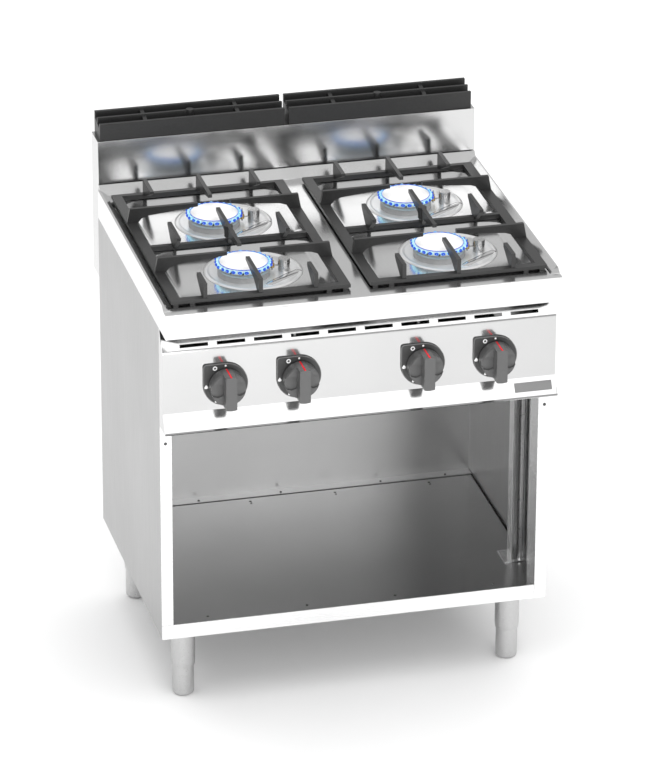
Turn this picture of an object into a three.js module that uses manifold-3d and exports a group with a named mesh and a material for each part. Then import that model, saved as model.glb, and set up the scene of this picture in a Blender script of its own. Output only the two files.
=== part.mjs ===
// Four-burner commercial gas range on an open stainless cabinet.
// Millimetres, +X right, +Y to the back, +Z up. The origin is the middle of the footprint on the floor.

import * as THREE from 'three';
import { mergeVertices } from 'three/addons/utils/BufferGeometryUtils.js';
import Module from 'manifold-3d';

const wasm = await Module();
wasm.setup();

// ---------------------------------------------------------------- driving dimensions

const GAP = 0.3;                 // clearance between pieces that touch
const SHEET = 2;                 // folded sheet thickness
const HALF_WIDTH = 400;
const HOB_FRONT = -350;
const HOB_Z = 900;               // worktop level
const APRON_BOTTOM = 848;
const BODY_FRONT = -284;         // front plane of the cabinet
const BODY_BACK = 288;           // back plane of the cabinet
const BODY_BOTTOM = 162;
const FLOOR_Z = 186.6;           // top of the cabinet floor
const FLUE_BACK = 350;
const FLUE_BOTTOM = 711;
const FLUE_TOP = 1012;
const GRILLE_TOP = 1047;
const KNOB_REACH = -370;         // front face of the knob grips
const SHIFT_Y = -(KNOB_REACH + FLUE_BACK) / 2;   // puts the origin under the middle of the whole box

const BURNER_X = 200;
const GRATE_MIDDLE_Y = -31;
const BURNER_REACH = 128.5;      // burner axis to the middle bar of its pan support
const WELL_DEPTH = 12;
const WELL_FLOOR = HOB_Z - WELL_DEPTH;
const CAP_TOP = 919;

const KNOB_Z = 728;
const KNOB_XS = [-274, -126, 126, 274];
const PANEL_Y = -314;            // outer face of the control panel
const KNOB_PUSH = 4;             // how far a knob is pressed in to light its burner

const LEG_X = 341;
const LEG_FRONT_Y = -210;
const LEG_BACK_Y = 237;

const burners = [
  { name: 'left_rear', x: -BURNER_X, y: GRATE_MIDDLE_Y + BURNER_REACH },
  { name: 'left_front', x: -BURNER_X, y: GRATE_MIDDLE_Y - BURNER_REACH },
  { name: 'right_front', x: BURNER_X, y: GRATE_MIDDLE_Y - BURNER_REACH },
  { name: 'right_rear', x: BURNER_X, y: GRATE_MIDDLE_Y + BURNER_REACH },
];

// ---------------------------------------------------------------- materials

function finish(color, roughness, metalness) {
  return new THREE.MeshStandardMaterial({ color, roughness, metalness });
}

const steel = () => finish(0xd8d9da, 0.3, 1);
const brushedSteel = () => finish(0xb9bbbd, 0.4, 1);
const castIron = () => finish(0x4a4a4b, 0.75, 0.3);
const blackIron = () => finish(0x3c3c3d, 0.8, 0.3);
const burnerAlloy = () => finish(0xa9a8a5, 0.5, 0.9);
const brass = () => finish(0xc79a45, 0.35, 1);
const knobPlastic = () => finish(0x5d5d5f, 0.5, 0);
const bezelPlastic = () => finish(0x3f3f41, 0.45, 0);
const legSteel = () => finish(0xbfc0c1, 0.4, 1);
const pipeMetal = () => finish(0xc4c2bc, 0.35, 1);

// ---------------------------------------------------------------- shape helpers

function toSolid(geometry) {
  const bare = geometry.index ? geometry.toNonIndexed() : geometry.clone();
  bare.deleteAttribute('normal');
  bare.deleteAttribute('uv');
  const merged = mergeVertices(bare, 1e-4);
  const vertProperties = new Float32Array(merged.attributes.position.array);
  const triVerts = new Uint32Array(merged.index.array);
  return new wasm.Manifold(new wasm.Mesh({ numProp: 3, vertProperties, triVerts }));
}

function toGeometry(solid) {
  const mesh = solid.getMesh();
  const geometry = new THREE.BufferGeometry();
  geometry.setAttribute('position', new THREE.BufferAttribute(new Float32Array(mesh.vertProperties), 3));
  geometry.setIndex(new THREE.BufferAttribute(new Uint32Array(mesh.triVerts), 1));
  geometry.computeVertexNormals();
  return geometry;
}

function join(...parts) {
  return parts.reduce((whole, part) => whole.add(part));
}

function cut(body, ...tools) {
  return tools.reduce((rest, tool) => rest.subtract(tool), body);
}

// A block between two corners.
function block(x0, x1, y0, y1, z0, z1) {
  const geometry = new THREE.BoxGeometry(x1 - x0, y1 - y0, z1 - z0);
  geometry.translate((x0 + x1) / 2, (y0 + y1) / 2, (z0 + z1) / 2);
  return toSolid(geometry);
}

function outline(points) {
  return new THREE.Shape(points.map(([u, v]) => new THREE.Vector2(u, v)));
}

// A shape drawn in X and Y, standing from z0 to z1.
function alongZ(shape, z0, z1, curveSegments = 8) {
  const geometry = new THREE.ExtrudeGeometry(shape, { depth: z1 - z0, bevelEnabled: false, curveSegments });
  geometry.translate(0, 0, z0);
  return toSolid(geometry);
}

// A shape drawn in Y and Z, running from x0 to x1.
function alongX(shape, x0, x1, curveSegments = 8) {
  const geometry = new THREE.ExtrudeGeometry(shape, { depth: x1 - x0, bevelEnabled: false, curveSegments });
  const basis = new THREE.Matrix4();
  basis.makeBasis(new THREE.Vector3(0, 1, 0), new THREE.Vector3(0, 0, 1), new THREE.Vector3(1, 0, 0));
  geometry.applyMatrix4(basis);
  geometry.translate(x0, 0, 0);
  return toSolid(geometry);
}

// A shape drawn in X and Z, running from y0 back to y1.
function alongY(shape, y0, y1, curveSegments = 8) {
  const geometry = new THREE.ExtrudeGeometry(shape, { depth: y1 - y0, bevelEnabled: false, curveSegments });
  geometry.rotateX(Math.PI / 2);
  geometry.translate(0, y1, 0);
  return toSolid(geometry);
}

// A turned solid about Z, from [radius, height] points that start and end on the axis.
function turned(points, segments) {
  const profile = points.map(([r, z]) => new THREE.Vector2(r, z));
  const geometry = new THREE.LatheGeometry(profile, segments);
  geometry.rotateX(Math.PI / 2);
  return toSolid(geometry);
}

function rod(radius, z0, z1, segments = 20) {
  return turned([[0, z0], [radius, z0], [radius, z1], [0, z1]], segments);
}

// A rod lying along Y.
function rodY(radius, x, z, y0, y1, segments = 20) {
  return rod(radius, -y1, -y0, segments).rotate([90, 0, 0]).translate([x, 0, z]);
}

// A rod lying along X.
function rodX(radius, y, z, x0, x1, segments = 20) {
  return rod(radius, x0, x1, segments).rotate([0, 90, 0]).translate([0, y, z]);
}

// A round tube or wire along a curve through the given points.
function pipe(points, radius, sides, steps, tension = 0.1) {
  const knots = points.map((p) => new THREE.Vector3(...p));
  const path = new THREE.CatmullRomCurve3(knots, false, 'catmullrom', tension);
  const section = new THREE.Shape();
  section.absarc(0, 0, radius, 0, Math.PI * 2, false);
  const options = { steps, curveSegments: sides / 2, extrudePath: path };
  return toSolid(new THREE.ExtrudeGeometry(section, options));
}

// The outline of a rounded rectangle as a ring of points at one height.
function roundedRing(width, depth, radius, z, cornerSteps = 4) {
  const ring = [];
  const corners = [[1, 1, 0], [-1, 1, 90], [-1, -1, 180], [1, -1, 270]];
  for (const [sx, sy, start] of corners) {
    for (let i = 0; i <= cornerSteps; i++) {
      const angle = THREE.MathUtils.degToRad(start + (90 * i) / cornerSteps);
      const x = sx * (width / 2 - radius) + radius * Math.cos(angle);
      const y = sy * (depth / 2 - radius) + radius * Math.sin(angle);
      ring.push([x, y, z]);
    }
  }
  return ring;
}

// A closed solid through convex rings of equal length, given from the bottom to the top.
function loft(rings) {
  const count = rings[0].length;
  const positions = rings.flat(2);
  const index = [];
  for (let r = 0; r + 1 < rings.length; r++) {
    for (let i = 0; i < count; i++) {
      const a = r * count + i;
      const b = r * count + ((i + 1) % count);
      index.push(a, b, b + count, a, b + count, a + count);
    }
  }
  const top = (rings.length - 1) * count;
  for (let i = 1; i + 1 < count; i++) {
    index.push(0, i + 1, i, top, top + i, top + i + 1);
  }
  const geometry = new THREE.BufferGeometry();
  geometry.setAttribute('position', new THREE.Float32BufferAttribute(positions, 3));
  geometry.setIndex(index);
  return toSolid(geometry);
}

// The closed section of a folded sheet: a path of [y, z] points thickened to its left.
function foldedSection(path, thickness) {
  const inner = path.map((point, i) => {
    const before = path[Math.max(i - 1, 0)];
    const after = path[Math.min(i + 1, path.length - 1)];
    const normals = [[before, point], [point, after]]
      .filter(([p, q]) => p !== q)
      .map(([p, q]) => {
        const length = Math.hypot(q[0] - p[0], q[1] - p[1]);
        return [-(q[1] - p[1]) / length, (q[0] - p[0]) / length];
      });
    const sum = normals.reduce((s, n) => [s[0] + n[0], s[1] + n[1]], [0, 0]);
    const scale = thickness * normals.length / (sum[0] ** 2 + sum[1] ** 2);
    return [point[0] + sum[0] * scale, point[1] + sum[1] * scale];
  });
  return outline([...path, ...inner.reverse()]);
}

// ---------------------------------------------------------------- the assembly

const range = new THREE.Group();
range.position.y = SHIFT_Y;

function add(name, solid, material) {
  const mesh = new THREE.Mesh(toGeometry(solid), material);
  mesh.name = name;
  range.add(mesh);
  return mesh;
}

// ---------------------------------------------------------------- hob top

const RIM_WIDTH = 20;
const RIM_HEIGHT = 10;
const APRON_FRONT = HOB_FRONT + 1.5;
const HOB_BACK = 284.7;
const RISER_HEIGHT = 20;
const WELL_WIDTH = 330;
const WELL_LENGTH = 262;
const WELL_OFFSET = 9.5;         // a well reaches further from the middle bar than its burner
const WELL_CORNER = 45;

// The raised side rim: slopes down inwards, and its front end is slanted.
function sideRim(side) {
  const outer = side * HALF_WIDTH;
  const section = (y, height) => [
    [outer, y, HOB_Z - 1],
    [outer - side * RIM_WIDTH, y, HOB_Z - 1],
    [outer - side * RIM_WIDTH, y, HOB_Z + 0.1],
    [outer - side * 4, y, HOB_Z + 0.1 + height],
    [outer, y, HOB_Z + 0.1 + height * 0.85],
  ];
  const rings = [
    section(HOB_FRONT + 20, 0.3),
    section(HOB_FRONT + 34, RIM_HEIGHT),
    section(HOB_BACK, RIM_HEIGHT),
  ];
  return loft(side > 0 ? rings : rings.map((ring) => ring.reverse()));
}

// The inside and the outside of one pressed well, as two lofted blocks.
function wellBlock(centreX, centreY, growth, drop, top) {
  const size = (inset, radius, z) =>
    roundedRing(WELL_WIDTH - inset + growth, WELL_LENGTH - inset + growth, radius, z);
  const rings = [
    size(42, WELL_CORNER - 18, WELL_FLOOR - drop),
    size(32, WELL_CORNER - 12, WELL_FLOOR + 3 - drop),
    size(4, WELL_CORNER - 2, HOB_Z - 1.5 - drop),
    size(0, WELL_CORNER, top),
  ];
  return loft(rings).translate([centreX, centreY, 0]);
}

function hobTop() {
  const shell = cut(
    block(-HALF_WIDTH, HALF_WIDTH, APRON_FRONT, HOB_BACK, APRON_BOTTOM, HOB_Z),
    block(-HALF_WIDTH + SHEET, HALF_WIDTH - SHEET, APRON_FRONT + SHEET, HOB_BACK + 1,
      APRON_BOTTOM - 1, HOB_Z - SHEET),
  );
  const beadRadius = 3.2;
  const bead = rodX(beadRadius, HOB_FRONT + beadRadius, HOB_Z - 2.8, -HALF_WIDTH, HALF_WIDTH, 12);
  const riser = alongX(outline([
    [HOB_BACK - 15, HOB_Z - 1],
    [HOB_BACK, HOB_Z - 1],
    [HOB_BACK, HOB_Z + RISER_HEIGHT],
    [HOB_BACK - 1.5, HOB_Z + RISER_HEIGHT],
    [HOB_BACK - 15, HOB_Z + 0.3],
  ]), -HALF_WIDTH + RIM_WIDTH - 18, HALF_WIDTH - RIM_WIDTH + 18);
  let hob = join(shell, bead, sideRim(1), sideRim(-1), riser);
  for (const burner of burners) {
    const wellY = burner.y + Math.sign(burner.y - GRATE_MIDDLE_Y) * WELL_OFFSET;
    hob = hob.add(wellBlock(burner.x, wellY, 2 * SHEET, SHEET, HOB_Z - 0.5));
  }
  for (const burner of burners) {
    const wellY = burner.y + Math.sign(burner.y - GRATE_MIDDLE_Y) * WELL_OFFSET;
    hob = hob.subtract(wellBlock(burner.x, wellY, 0, 0, HOB_Z + 0.1));
    hob = hob.subtract(rod(BURNER_NECK + 2, WELL_FLOOR - 5, WELL_FLOOR + 5, 20)
      .translate([burner.x, burner.y, 0]));
    hob = hob.subtract(rod(PILOT_STEM + 1, WELL_FLOOR - 5, WELL_FLOOR + 5, 8)
      .translate([burner.x + PILOT_OFFSET, burner.y, 0]));
  }
  return hob;
}

// ---------------------------------------------------------------- burners

const BURNER_NECK = 35;
const BURNER_RADIUS = 52;
const THROAT = 20;
const BASE_TOP = 906;
const CAP_RADIUS = 49;
const PORT_COUNT = 12;
const PILOT_OFFSET = 82;
const PILOT_STEM = 4;
const NECK_BOTTOM = 862;

// The burner body: neck through the well, flange on it, open mixing throat up the middle.
function burnerBase() {
  const foot = WELL_FLOOR + GAP;
  const body = turned([
    [0, NECK_BOTTOM],
    [BURNER_NECK, NECK_BOTTOM],
    [BURNER_NECK, foot],
    [BURNER_RADIUS, foot],
    [BURNER_RADIUS, foot + 13],
    [CAP_RADIUS, foot + 15],
    [CAP_RADIUS, BASE_TOP],
    [0, BASE_TOP],
  ], 24);
  const chamber = rod(CAP_RADIUS - 7, BASE_TOP - 9, BASE_TOP + 1, 24);
  const throat = rod(THROAT, NECK_BOTTOM - 1, BASE_TOP, 12);
  return cut(body, chamber, throat);
}

// The lift-off cap: a domed lid with a ring of flame ports and a locating spigot in the throat.
function burnerCap() {
  const bottom = BASE_TOP + GAP;
  const lid = turned([
    [0, bottom],
    [CAP_RADIUS, bottom],
    [CAP_RADIUS, CAP_TOP - 3],
    [CAP_RADIUS - 6, CAP_TOP],
    [0, CAP_TOP],
  ], 24);
  const spigot = rod(THROAT - 2, bottom - 12, bottom + 1, 12);
  let cap = join(lid, spigot);
  for (let i = 0; i < PORT_COUNT; i++) {
    const port = block(CAP_RADIUS - 12, CAP_RADIUS + 2, -2.2, 2.2, bottom - 1, bottom + 5);
    cap = cap.subtract(port.rotate([0, 0, (360 * (i + 0.5)) / PORT_COUNT]));
  }
  return cap;
}

// The pilot set beside a burner: shroud with its flame window, bracket and thermocouple with its brass nut.
function pilotAssembly() {
  const foot = WELL_FLOOR + GAP;
  const top = 915;
  const shroud = rod(12, foot, top, 16);
  const stem = rod(PILOT_STEM, NECK_BOTTOM, foot + 1, 8);
  const bracket = block(-28, -10.5, -3, 3, foot + 12, foot + 14);
  const nut = rod(4.5, foot + 9, foot + 17, 6).translate([-24, 0, 0]);
  const probe = rod(1.6, foot + 4, foot + 30, 6).translate([-24, 0, 0]);
  const flameWindow = block(-13, -7, -4, 4, top - 13, top - 5);
  return cut(join(shroud, stem, bracket, nut, probe), flameWindow);
}

// ---------------------------------------------------------------- pan supports

const GRATE_WIDTH = 360;
const GRATE_LENGTH = 556;
const GRATE_TOP = 941;
const FRAME_TOP = 911;
const FRAME_BOTTOM = 904;
const FLANGE_BOTTOM = 901;
const RAIL = 20;
const BAR = 8;
const FINGER_X = 111;            // side fingers, from the middle of the pan support
const TIP_RADIUS = 34;           // clear circle over each burner axis

function panSupport(centreX) {
  const x0 = -GRATE_WIDTH / 2;
  const x1 = GRATE_WIDTH / 2;
  const y0 = GRATE_MIDDLE_Y - GRATE_LENGTH / 2;
  const y1 = GRATE_MIDDLE_Y + GRATE_LENGTH / 2;
  const frontRail = 16;
  const backRail = 11;
  const flat = cut(
    block(x0, x1, y0, y1, FRAME_BOTTOM, FRAME_TOP),
    block(x0 + RAIL, x1 - RAIL, y0 + frontRail, y1 - backRail, FRAME_BOTTOM - 1, FRAME_TOP + 1),
  );
  const flange = cut(
    block(x0 + RAIL - 5, x1 - RAIL + 5, y0 + frontRail - 5, y1 - backRail + 5, FLANGE_BOTTOM, FRAME_TOP - 1),
    block(x0 + RAIL, x1 - RAIL, y0 + frontRail, y1 - backRail, FLANGE_BOTTOM - 1, FRAME_TOP + 1),
  );
  const middleRail = block(x0 + RAIL - 1, x1 - RAIL + 1, GRATE_MIDDLE_Y - 5, GRATE_MIDDLE_Y + 5,
    FLANGE_BOTTOM, FRAME_TOP);
  const parts = [flat, flange, middleRail];

  for (const [fx, fy] of [[-1, -1], [1, -1], [-1, 1], [1, 1]]) {
    for (const reach of [x1 - 10, FINGER_X + 26]) {
      const px = fx * reach;
      const py = GRATE_MIDDLE_Y + fy * (GRATE_LENGTH / 2 - 5);
      parts.push(block(px - 5, px + 5, py - 4, py + 4, HOB_Z + GAP, FRAME_BOTTOM + 1));
    }
  }

  for (const burnerY of [GRATE_MIDDLE_Y - BURNER_REACH, GRATE_MIDDLE_Y + BURNER_REACH]) {
    for (const side of [-1, 1]) {
      const arm = alongY(outline([
        [x1, FRAME_TOP - 1],
        [x1 - 6, GRATE_TOP],
        [TIP_RADIUS, GRATE_TOP],
        [TIP_RADIUS, GRATE_TOP - 7],
        [x1 - 44, GRATE_TOP - 17],
        [x1 - 30, GRATE_TOP - 22],
        [x1 - 22, FRAME_TOP - 1],
      ]), burnerY - BAR / 2, burnerY + BAR / 2);
      parts.push(side > 0 ? arm : arm.rotate([0, 0, 180]).translate([0, 2 * burnerY, 0]));
    }
  }

  const root = FRAME_BOTTOM + 1;
  const finger = (x, points) => parts.push(alongX(outline(points), x - BAR / 2, x + BAR / 2));
  const mid = GRATE_MIDDLE_Y;
  for (const x of [-FINGER_X, FINGER_X]) {
    finger(x, [
      [mid - 44, GRATE_TOP], [mid - 44, GRATE_TOP - 6], [mid - 8, root],
      [mid + 8, root], [mid + 44, GRATE_TOP - 6], [mid + 44, GRATE_TOP],
    ]);
    finger(x, [
      [y0 + 2, GRATE_TOP], [y0 + 2, root], [y0 + 14, root],
      [y0 + 61, GRATE_TOP - 8], [y0 + 61, GRATE_TOP],
    ]);
    finger(x, [
      [y1 - 73, GRATE_TOP], [y1 - 73, GRATE_TOP - 6], [y1 - 9, root],
      [y1 - 2, root], [y1 - 2, GRATE_TOP],
    ]);
  }
  const reach = BURNER_REACH - TIP_RADIUS;
  finger(0, [
    [mid - reach, GRATE_TOP], [mid - reach, GRATE_TOP - 7], [mid - 20, GRATE_TOP - 20], [mid - 8, root],
    [mid + 8, root], [mid + 20, GRATE_TOP - 20], [mid + reach, GRATE_TOP - 7], [mid + reach, GRATE_TOP],
  ]);
  finger(0, [
    [y0 + 2, GRATE_TOP], [y0 + 2, root], [y0 + 14, root], [y0 + 46, GRATE_TOP - 18],
    [mid - BURNER_REACH - TIP_RADIUS, GRATE_TOP - 7], [mid - BURNER_REACH - TIP_RADIUS, GRATE_TOP],
  ]);
  finger(0, [
    [mid + BURNER_REACH + TIP_RADIUS, GRATE_TOP], [mid + BURNER_REACH + TIP_RADIUS, GRATE_TOP - 7],
    [y1 - 46, GRATE_TOP - 18], [y1 - 9, root], [y1 - 2, root], [y1 - 2, GRATE_TOP],
  ]);
  const boss = rod(9, GRATE_TOP - 24, GRATE_TOP - 0.5, 8).translate([0, mid, 0]);
  parts.push(boss);
  return join(...parts).translate([centreX, 0, 0]);
}

// ---------------------------------------------------------------- control panel

const STRIP_TOP = [-281, 862];
const STRIP_FOOT = [PANEL_Y + 1, 806];     // bend between the sloped vent strip and the flat face
const CHIN_TOP = [PANEL_Y, 674];
const CHIN_FOOT = [PANEL_Y - 19.5, 641];   // the chin flares forward down to the lip
const panelPath = [
  STRIP_TOP, STRIP_FOOT, [PANEL_Y, 800], CHIN_TOP,
  CHIN_FOOT, [-336, 638.5], [-334.5, 636.5], [BODY_FRONT - GAP, 635],
];
const SLOT_COUNT = 10;
const SLOT_PITCH = 74.5;
const SLOT_LENGTH = 57;
const SLOT_Z = 811;
const SLOT_HEIGHT = 6;
const STEM_HOLE = 6;

// Depth of the outer face of the vent strip at a height.
function stripY(z) {
  const share = (STRIP_TOP[1] - z) / (STRIP_TOP[1] - STRIP_FOOT[1]);
  return STRIP_TOP[0] + share * (STRIP_FOOT[0] - STRIP_TOP[0]);
}

function controlPanel() {
  const inside = HALF_WIDTH - SHEET - GAP;
  const sheet = cut(
    alongX(foldedSection(panelPath, SHEET), -HALF_WIDTH + 1, HALF_WIDTH - 1),
    block(-HALF_WIDTH, -inside, -310, -270, APRON_BOTTOM - GAP, 870),
    block(inside, HALF_WIDTH, -310, -270, APRON_BOTTOM - GAP, 870),
  );
  const endTop = APRON_BOTTOM - GAP;
  const endShape = outline([[stripY(endTop), endTop], ...panelPath.slice(1), [BODY_FRONT - GAP, endTop]]);
  const ends = [-HALF_WIDTH, HALF_WIDTH - SHEET].map((x) => alongX(endShape, x, x + SHEET));
  let panel = join(sheet, ...ends);
  for (const x of KNOB_XS) {
    panel = panel.subtract(rodY(STEM_HOLE, x, KNOB_Z, PANEL_Y - 5, PANEL_Y + 5, 16));
  }
  for (let i = 0; i < SLOT_COUNT; i++) {
    const x = (i - (SLOT_COUNT - 1) / 2) * SLOT_PITCH;
    panel = panel.subtract(block(x - SLOT_LENGTH / 2, x + SLOT_LENGTH / 2, PANEL_Y - 10, BODY_FRONT - GAP,
      SLOT_Z, SLOT_Z + SLOT_HEIGHT));
  }
  return panel;
}

// A small blank name plate lying on the sloped chin of the panel.
function badgePlate() {
  const run = CHIN_TOP[0] - CHIN_FOOT[0];
  const slope = Math.atan2(CHIN_TOP[1] - CHIN_FOOT[1], run);
  const lift = 0.75 + GAP;
  const plate = toSolid(new THREE.BoxGeometry(76, 19, 1.5));
  return plate.rotate([THREE.MathUtils.radToDeg(slope), 0, 0]).translate([
    352,
    PANEL_Y - run / 2 - lift * Math.sin(slope),
    (CHIN_TOP[1] + CHIN_FOOT[1]) / 2 + lift * Math.cos(slope),
  ]);
}

// ---------------------------------------------------------------- valves and knobs

const BEZEL_RADIUS = 45;
const BEZEL_THICKNESS = 3.5;
const KNOB_RADIUS = 35;
const KNOB_BACK = PANEL_Y - GAP - BEZEL_THICKNESS - KNOB_PUSH - 0.5;
const STEM_RADIUS = 4;
const VALVE_FRONT = -306;
const MANIFOLD_Y = -252;
const MANIFOLD_RADIUS = 11;
const VALVE_BACK = MANIFOLD_Y - MANIFOLD_RADIUS - GAP;

// The printed dial plate behind a knob: a disc with one square corner at the upper left.
function bezel(x) {
  const corner = 6;
  const r = BEZEL_RADIUS;
  const shape = new THREE.Shape();
  shape.moveTo(0, r);
  shape.lineTo(-r + corner, r);
  shape.absarc(-r + corner, r - corner, corner, Math.PI / 2, Math.PI, false);
  shape.lineTo(-r, 0);
  shape.absarc(0, 0, r, Math.PI, Math.PI * 2.5, false);
  const front = PANEL_Y - GAP - BEZEL_THICKNESS;
  const plate = alongY(shape, front, PANEL_Y - GAP, 6);
  return cut(plate, rodY(7, 0, 0, front - 1, front + 10, 16)).translate([x, 0, KNOB_Z]);
}

// The knob: a round skirt, a raised bar grip across it and a bore for the stem.
function knob(x) {
  const gripHalf = 11;
  const skirtFront = KNOB_REACH + 23;
  const skirt = rodY(KNOB_RADIUS, 0, 0, skirtFront + 2, KNOB_BACK, 28);
  const shoulder = rodY(KNOB_RADIUS - 1.5, 0, 0, skirtFront, KNOB_BACK - 1, 28);
  const gripRound = rodY(KNOB_RADIUS + 0.5, 0, 0, KNOB_REACH, KNOB_BACK - 4, 28);
  const gripBlock = block(-gripHalf, gripHalf, KNOB_REACH, KNOB_BACK - 4, -40, 40);
  const scoops = [-1, 1].map((side) =>
    rodY(15, side * (gripHalf + 11), 0, skirtFront - 1, skirtFront + 5, 10));
  const body = join(cut(join(skirt, shoulder), ...scoops), gripRound.intersect(gripBlock));
  const bore = rodY(STEM_RADIUS + GAP, 0, 0, KNOB_BACK - 14, KNOB_BACK + 1, 10);
  return cut(body, bore).translate([x, 0, KNOB_Z]);
}

// The push stem of a gas valve, sprung outwards inside the valve.
function valveStem(x) {
  return rodY(STEM_RADIUS, x, KNOB_Z, KNOB_BACK - 14 + GAP, VALVE_FRONT + 16, 12);
}

function gasValve(x) {
  const nose = rodY(12, x, KNOB_Z, VALVE_FRONT, VALVE_FRONT + 12, 20);
  const body = block(x - 17, x + 17, VALVE_FRONT + 11, VALVE_BACK, KNOB_Z - 15, KNOB_Z + 15);
  const outlet = rod(7, KNOB_Z + 14, KNOB_Z + 24, 6).translate([x, -282, 0]);
  const bore = rodY(STEM_RADIUS + GAP, x, KNOB_Z, VALVE_FRONT - 1, VALVE_FRONT + 22, 12);
  return cut(join(nose, body, outlet), bore);
}

// The supply manifold across the range, capped on the left, feeding all four valves.
function gasManifold() {
  const tube = rodX(MANIFOLD_RADIUS, MANIFOLD_Y, KNOB_Z, -330, 330, 20);
  const cap = rodX(MANIFOLD_RADIUS + 3, MANIFOLD_Y, KNOB_Z, -338, -326, 6);
  return join(tube, cap);
}

// The pipe from a valve to the jet below its burner, ending in the jet holder.
function feedPipe(valveX, burner, level) {
  const jetZ = NECK_BOTTOM - 20;
  const start = KNOB_Z + 24 + GAP;
  const line = pipe([
    [valveX, -282, start],
    [valveX, -282, start + 20],
    [valveX, -276, level - 4],
    [valveX, -262, level],
    [valveX + (burner.x - valveX) * 0.5, (burner.y - 262) / 2, level],
    [burner.x, burner.y - 14, level],
    [burner.x, burner.y - 2, level + 6],
    [burner.x, burner.y, jetZ],
  ], 4, 6, 18);
  const jet = rod(9, jetZ - 4, jetZ + 12, 6).translate([burner.x, burner.y, 0]);
  return join(line, jet);
}

// ---------------------------------------------------------------- gas supply

const RISER_X = 384;
const RISER_Y = -146;
const PIPE_RADIUS = 7;

// The supply pipe from the manifold down through the floor to the inlet thread behind the cabinet.
function gasRiser() {
  const below = BODY_BOTTOM + 10;
  const line = pipe([
    [330 + GAP, MANIFOLD_Y, KNOB_Z],
    [344, MANIFOLD_Y, KNOB_Z],
    [357, MANIFOLD_Y + 8, KNOB_Z],
    [366, MANIFOLD_Y + 30, KNOB_Z],
    [372, MANIFOLD_Y + 52, KNOB_Z],
    [RISER_X - 2, RISER_Y - 18, KNOB_Z - 4],
    [RISER_X, RISER_Y - 3, KNOB_Z - 20],
    [RISER_X, RISER_Y, KNOB_Z - 50],
    [RISER_X, RISER_Y, FLOOR_Z + 20],
    [RISER_X, RISER_Y + 3, below + 5],
    [RISER_X, RISER_Y + 14, below],
    [RISER_X, BODY_BACK + 6, below],
  ], PIPE_RADIUS, 8, 28, 0.2);
  const hex = rodY(14, RISER_X, below, BODY_BACK + 4, BODY_BACK + 22, 6);
  const thread = rodY(10, RISER_X, below, BODY_BACK + 21, BODY_BACK + 44, 14);
  const bore = rodY(7, RISER_X, below, BODY_BACK + 16, BODY_BACK + 50, 10);
  return cut(join(line, hex, thread), bore);
}

// The folded channel that guards the riser inside the right front corner.
function riserChannel() {
  const x0 = 362;
  const x1 = 397;
  const y0 = RISER_Y - 14;
  const y1 = RISER_Y + 15;
  const bottom = FLOOR_Z + GAP;
  const shell = cut(
    block(x0, x1, y0, y1, bottom, 648),
    block(x0 + 1.5, x1 - 1.5, y0 + 1.5, y1 - 1.5, bottom - 1, 650),
    block(x0 + 12, x1 - 1.5, y0 - 1, y0 + 3, bottom - 1, 650),
  );
  const plate = block(x0 - 14, x1, y0 - 5, y1 + 24, bottom, bottom + 2);
  const hole = rod(PIPE_RADIUS + 3, bottom - 1, bottom + 5, 20).translate([RISER_X, RISER_Y, 0]);
  return join(shell, plate).subtract(hole);
}

// ---------------------------------------------------------------- cabinet

const POST_INNER = 376;
const POST_DEPTH = 54;
const RAIL_TOP = 193;
const BODY_TOP = APRON_BOTTOM - GAP;
const FRAME_TOP_Z = FLOOR_Z - SHEET - GAP;
const SIDE_OUTER = HALF_WIDTH - 0.5;

function sidePanel(side) {
  const panel = block(SIDE_OUTER - SHEET, SIDE_OUTER, BODY_FRONT + SHEET + GAP, BODY_BACK, BODY_BOTTOM, BODY_TOP);
  return side > 0 ? panel : panel.rotate([0, 0, 180]).translate([0, BODY_FRONT + SHEET + GAP + BODY_BACK, 0]);
}

function frontPost(side, bottom) {
  const section = outline([
    [POST_INNER, BODY_FRONT],
    [SIDE_OUTER, BODY_FRONT],
    [SIDE_OUTER, BODY_FRONT + SHEET],
    [POST_INNER + SHEET, BODY_FRONT + SHEET],
    [POST_INNER + SHEET, BODY_FRONT + POST_DEPTH - SHEET],
    [POST_INNER + 14, BODY_FRONT + POST_DEPTH - SHEET],
    [POST_INNER + 14, BODY_FRONT + POST_DEPTH],
    [POST_INNER, BODY_FRONT + POST_DEPTH],
  ]);
  const screwHole = rodY(2.5, 388.5, 596, BODY_FRONT - 1, BODY_FRONT + 5, 12);
  const post = cut(alongZ(section, bottom, BODY_TOP), screwHole);
  return side > 0 ? post : post.mirror([1, 0, 0]);
}

function baseRail() {
  const section = outline([
    [BODY_FRONT, BODY_BOTTOM],
    [BODY_FRONT + 14, BODY_BOTTOM],
    [BODY_FRONT + 14, BODY_BOTTOM + SHEET],
    [BODY_FRONT + SHEET, BODY_BOTTOM + SHEET],
    [BODY_FRONT + SHEET, RAIL_TOP],
    [BODY_FRONT, RAIL_TOP],
  ]);
  const sideRelief = block(-HALF_WIDTH, -SIDE_OUTER + SHEET + GAP, BODY_FRONT + SHEET, 0,
    BODY_BOTTOM - 1, RAIL_TOP + 1);
  return cut(alongX(section, -SIDE_OUTER, POST_INNER - GAP), sideRelief);
}

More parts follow.
